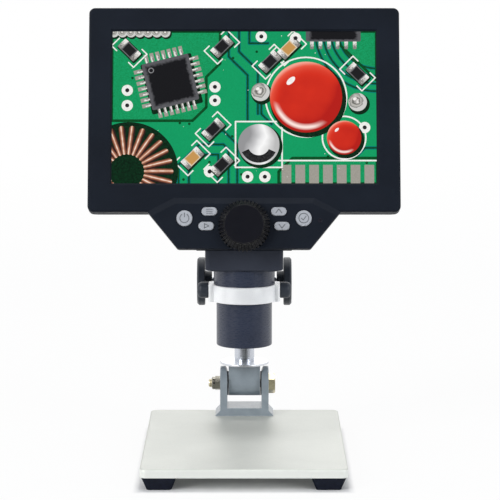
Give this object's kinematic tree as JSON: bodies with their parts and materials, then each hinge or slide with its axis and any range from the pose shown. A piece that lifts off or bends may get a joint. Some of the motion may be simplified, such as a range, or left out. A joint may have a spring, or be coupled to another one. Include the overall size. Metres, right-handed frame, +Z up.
{
  "type": "lcd digital microscope",
  "caption": "Digital microscope with a tilted flat display head, focus wheel and keys, held by a clamp ring on a rack column with a hinged foot and rectangular base plate.",
  "frame": {"origin": "middle of the object's footprint box, on the surface it stands on", "axes": "+Z up, -Y towards the user, +X to the user's right; symmetric in outline about X = 0"},
  "size_m": [0.181, 0.1658, 0.2598],
  "materials": {
    "plate_aluminium": "fine satin, clear coated",
    "rubber_black": "matte",
    "fork_paint": "fine textured grey paint",
    "zinc_steel": "yellow zinc",
    "black_steel": "black oxide",
    "washer_plastic": "matte",
    "polished_steel": "polished",
    "steel_plain": "turned",
    "black_cast": "black anodised",
    "ring_aluminium": "bright satin",
    "knob_plastic": "satin",
    "housing_plastic": "fine satin",
    "button_grey": "satin",
    "lcd_glass": "glossy",
    "tray_plastic": "matte",
    "board_green": "solder mask",
    "cell_wrap": "foil pouch",
    "port_metal": "tinned",
    "switch_black": "matte",
    "led_white": "white LED",
    "clear_window": "clear",
    "bush_nylon": "nylon",
    "carrier_black": "matte"
  },
  "bodies": {
    "base": {"base_plate": "plate_aluminium", "foot_front_left": "rubber_black", "foot_front_right": "rubber_black", "foot_rear_left": "rubber_black", "foot_rear_right": "rubber_black", "foot_screws": "black_steel", "fork_screws": "black_steel", "hinge_fork": "fork_paint", "hinge_bolt": "zinc_steel", "hinge_nut": "zinc_steel", "friction_washers": "washer_plastic"},
    "column": {"hinge_knuckle": "fork_paint", "column_flange": "polished_steel", "column_post": "polished_steel", "column_cap": "knob_plastic"},
    "carriage": {"carriage": "black_cast", "tension_screw": "black_steel", "clamp_ring": "ring_aluminium", "ring_screws": "black_steel"},
    "height_knob": {"pinion_shaft": "steel_plain", "height_knob_left": "knob_plastic", "height_knob_right": "knob_plastic"},
    "clamp_left": {"clamp_knob_left": "knob_plastic", "clamp_stud_left": "steel_plain"},
    "clamp_right": {"clamp_knob_right": "knob_plastic", "clamp_stud_right": "steel_plain"},
    "head": {"front_housing": "housing_plastic", "rear_housing": "housing_plastic", "housing_screws": "black_steel", "lcd_panel": "lcd_glass", "lcd_frame": "tray_plastic", "main_board": "board_green", "battery_pack": "cell_wrap", "usb_port": "port_metal", "card_slot": "port_metal", "keypad_board": "board_green", "tact_switches": "switch_black", "status_light": "tray_plastic", "focus_bush": "bush_nylon", "neck": "housing_plastic", "neck_screws": "black_steel", "barrel_collar": "black_cast", "barrel_sleeve": "black_cast", "light_window": "clear_window", "led_board": "board_green", "leds": "led_white", "sensor_board": "board_green"},
    "focus": {"focus_wheel": "knob_plastic", "focus_shaft": "steel_plain"},
    "lens": {"lens_carrier": "carrier_black", "lens_glass": "clear_window"},
    "power_button": {"power_button": "button_grey"},
    "ok_button": {"ok_button": "button_grey"},
    "menu_button": {"menu_button": "button_grey"},
    "play_button": {"play_button": "button_grey"},
    "up_button": {"up_button": "button_grey"},
    "down_button": {"down_button": "button_grey"}
  },
  "joints": [
    {"name": "column_tilt", "type": "hinge", "parent": "base", "child": "column", "pos_m": [0, 0.06813, 0.03085], "axis": [1, 0, 0], "range_deg": [-60, 20]},
    {"name": "height_slide", "type": "slide", "parent": "column", "child": "carriage", "axis": [0, 0, 1], "range_m": [-0.02, 0.07]},
    {"name": "height_knob_turn", "type": "hinge", "parent": "carriage", "child": "height_knob", "pos_m": [0, 0.06008, 0.095], "axis": [1, 0, 0], "range_deg": [-1345, 390]},
    {"name": "head_swivel", "type": "hinge", "parent": "carriage", "child": "head", "pos_m": [0, 0.03012, 0.09337], "axis": [0, 0, 1], "range_deg": [-45, 45]},
    {"name": "clamp_left_turn", "type": "hinge", "parent": "carriage", "child": "clamp_left", "pos_m": [-0.024, 0.03012, 0.09438], "axis": [-1, 0, 0], "range_deg": [0, 720]},
    {"name": "clamp_right_turn", "type": "hinge", "parent": "carriage", "child": "clamp_right", "pos_m": [0.024, 0.03012, 0.09438], "axis": [1, 0, 0], "range_deg": [0, 720]},
    {"name": "focus_wheel_turn", "type": "hinge", "parent": "head", "child": "focus", "pos_m": [0, 0.00171, 0.13564], "axis": [0, -0.9613, 0.2756], "range_deg": [-110.5, 110.5]},
    {"name": "lens_slide", "type": "slide", "parent": "head", "child": "lens", "axis": [0, 0, 1], "range_m": [-0.006, 0.006]},
    {"name": "power_button_press", "type": "slide", "parent": "head", "child": "power_button", "axis": [0, 0.9613, -0.2756], "range_m": [0, 0.0006], "stiffness_N_per_m": 900},
    {"name": "ok_button_press", "type": "slide", "parent": "head", "child": "ok_button", "axis": [0, 0.9613, -0.2756], "range_m": [0, 0.0006], "stiffness_N_per_m": 900},
    {"name": "menu_button_press", "type": "slide", "parent": "head", "child": "menu_button", "axis": [0, 0.9613, -0.2756], "range_m": [0, 0.0006], "stiffness_N_per_m": 900},
    {"name": "play_button_press", "type": "slide", "parent": "head", "child": "play_button", "axis": [0, 0.9613, -0.2756], "range_m": [0, 0.0006], "stiffness_N_per_m": 900},
    {"name": "up_button_press", "type": "slide", "parent": "head", "child": "up_button", "axis": [0, 0.9613, -0.2756], "range_m": [0, 0.0006], "stiffness_N_per_m": 900},
    {"name": "down_button_press", "type": "slide", "parent": "head", "child": "down_button", "axis": [0, 0.9613, -0.2756], "range_m": [0, 0.0006], "stiffness_N_per_m": 900}
  ],
  "couplings": [
    {"joint": "height_knob_turn", "follows": "height_slide", "rad_per_m": -333.33},
    {"joint": "focus_wheel_turn", "follows": "lens_slide", "rad_per_m": 320.42}
  ]
}
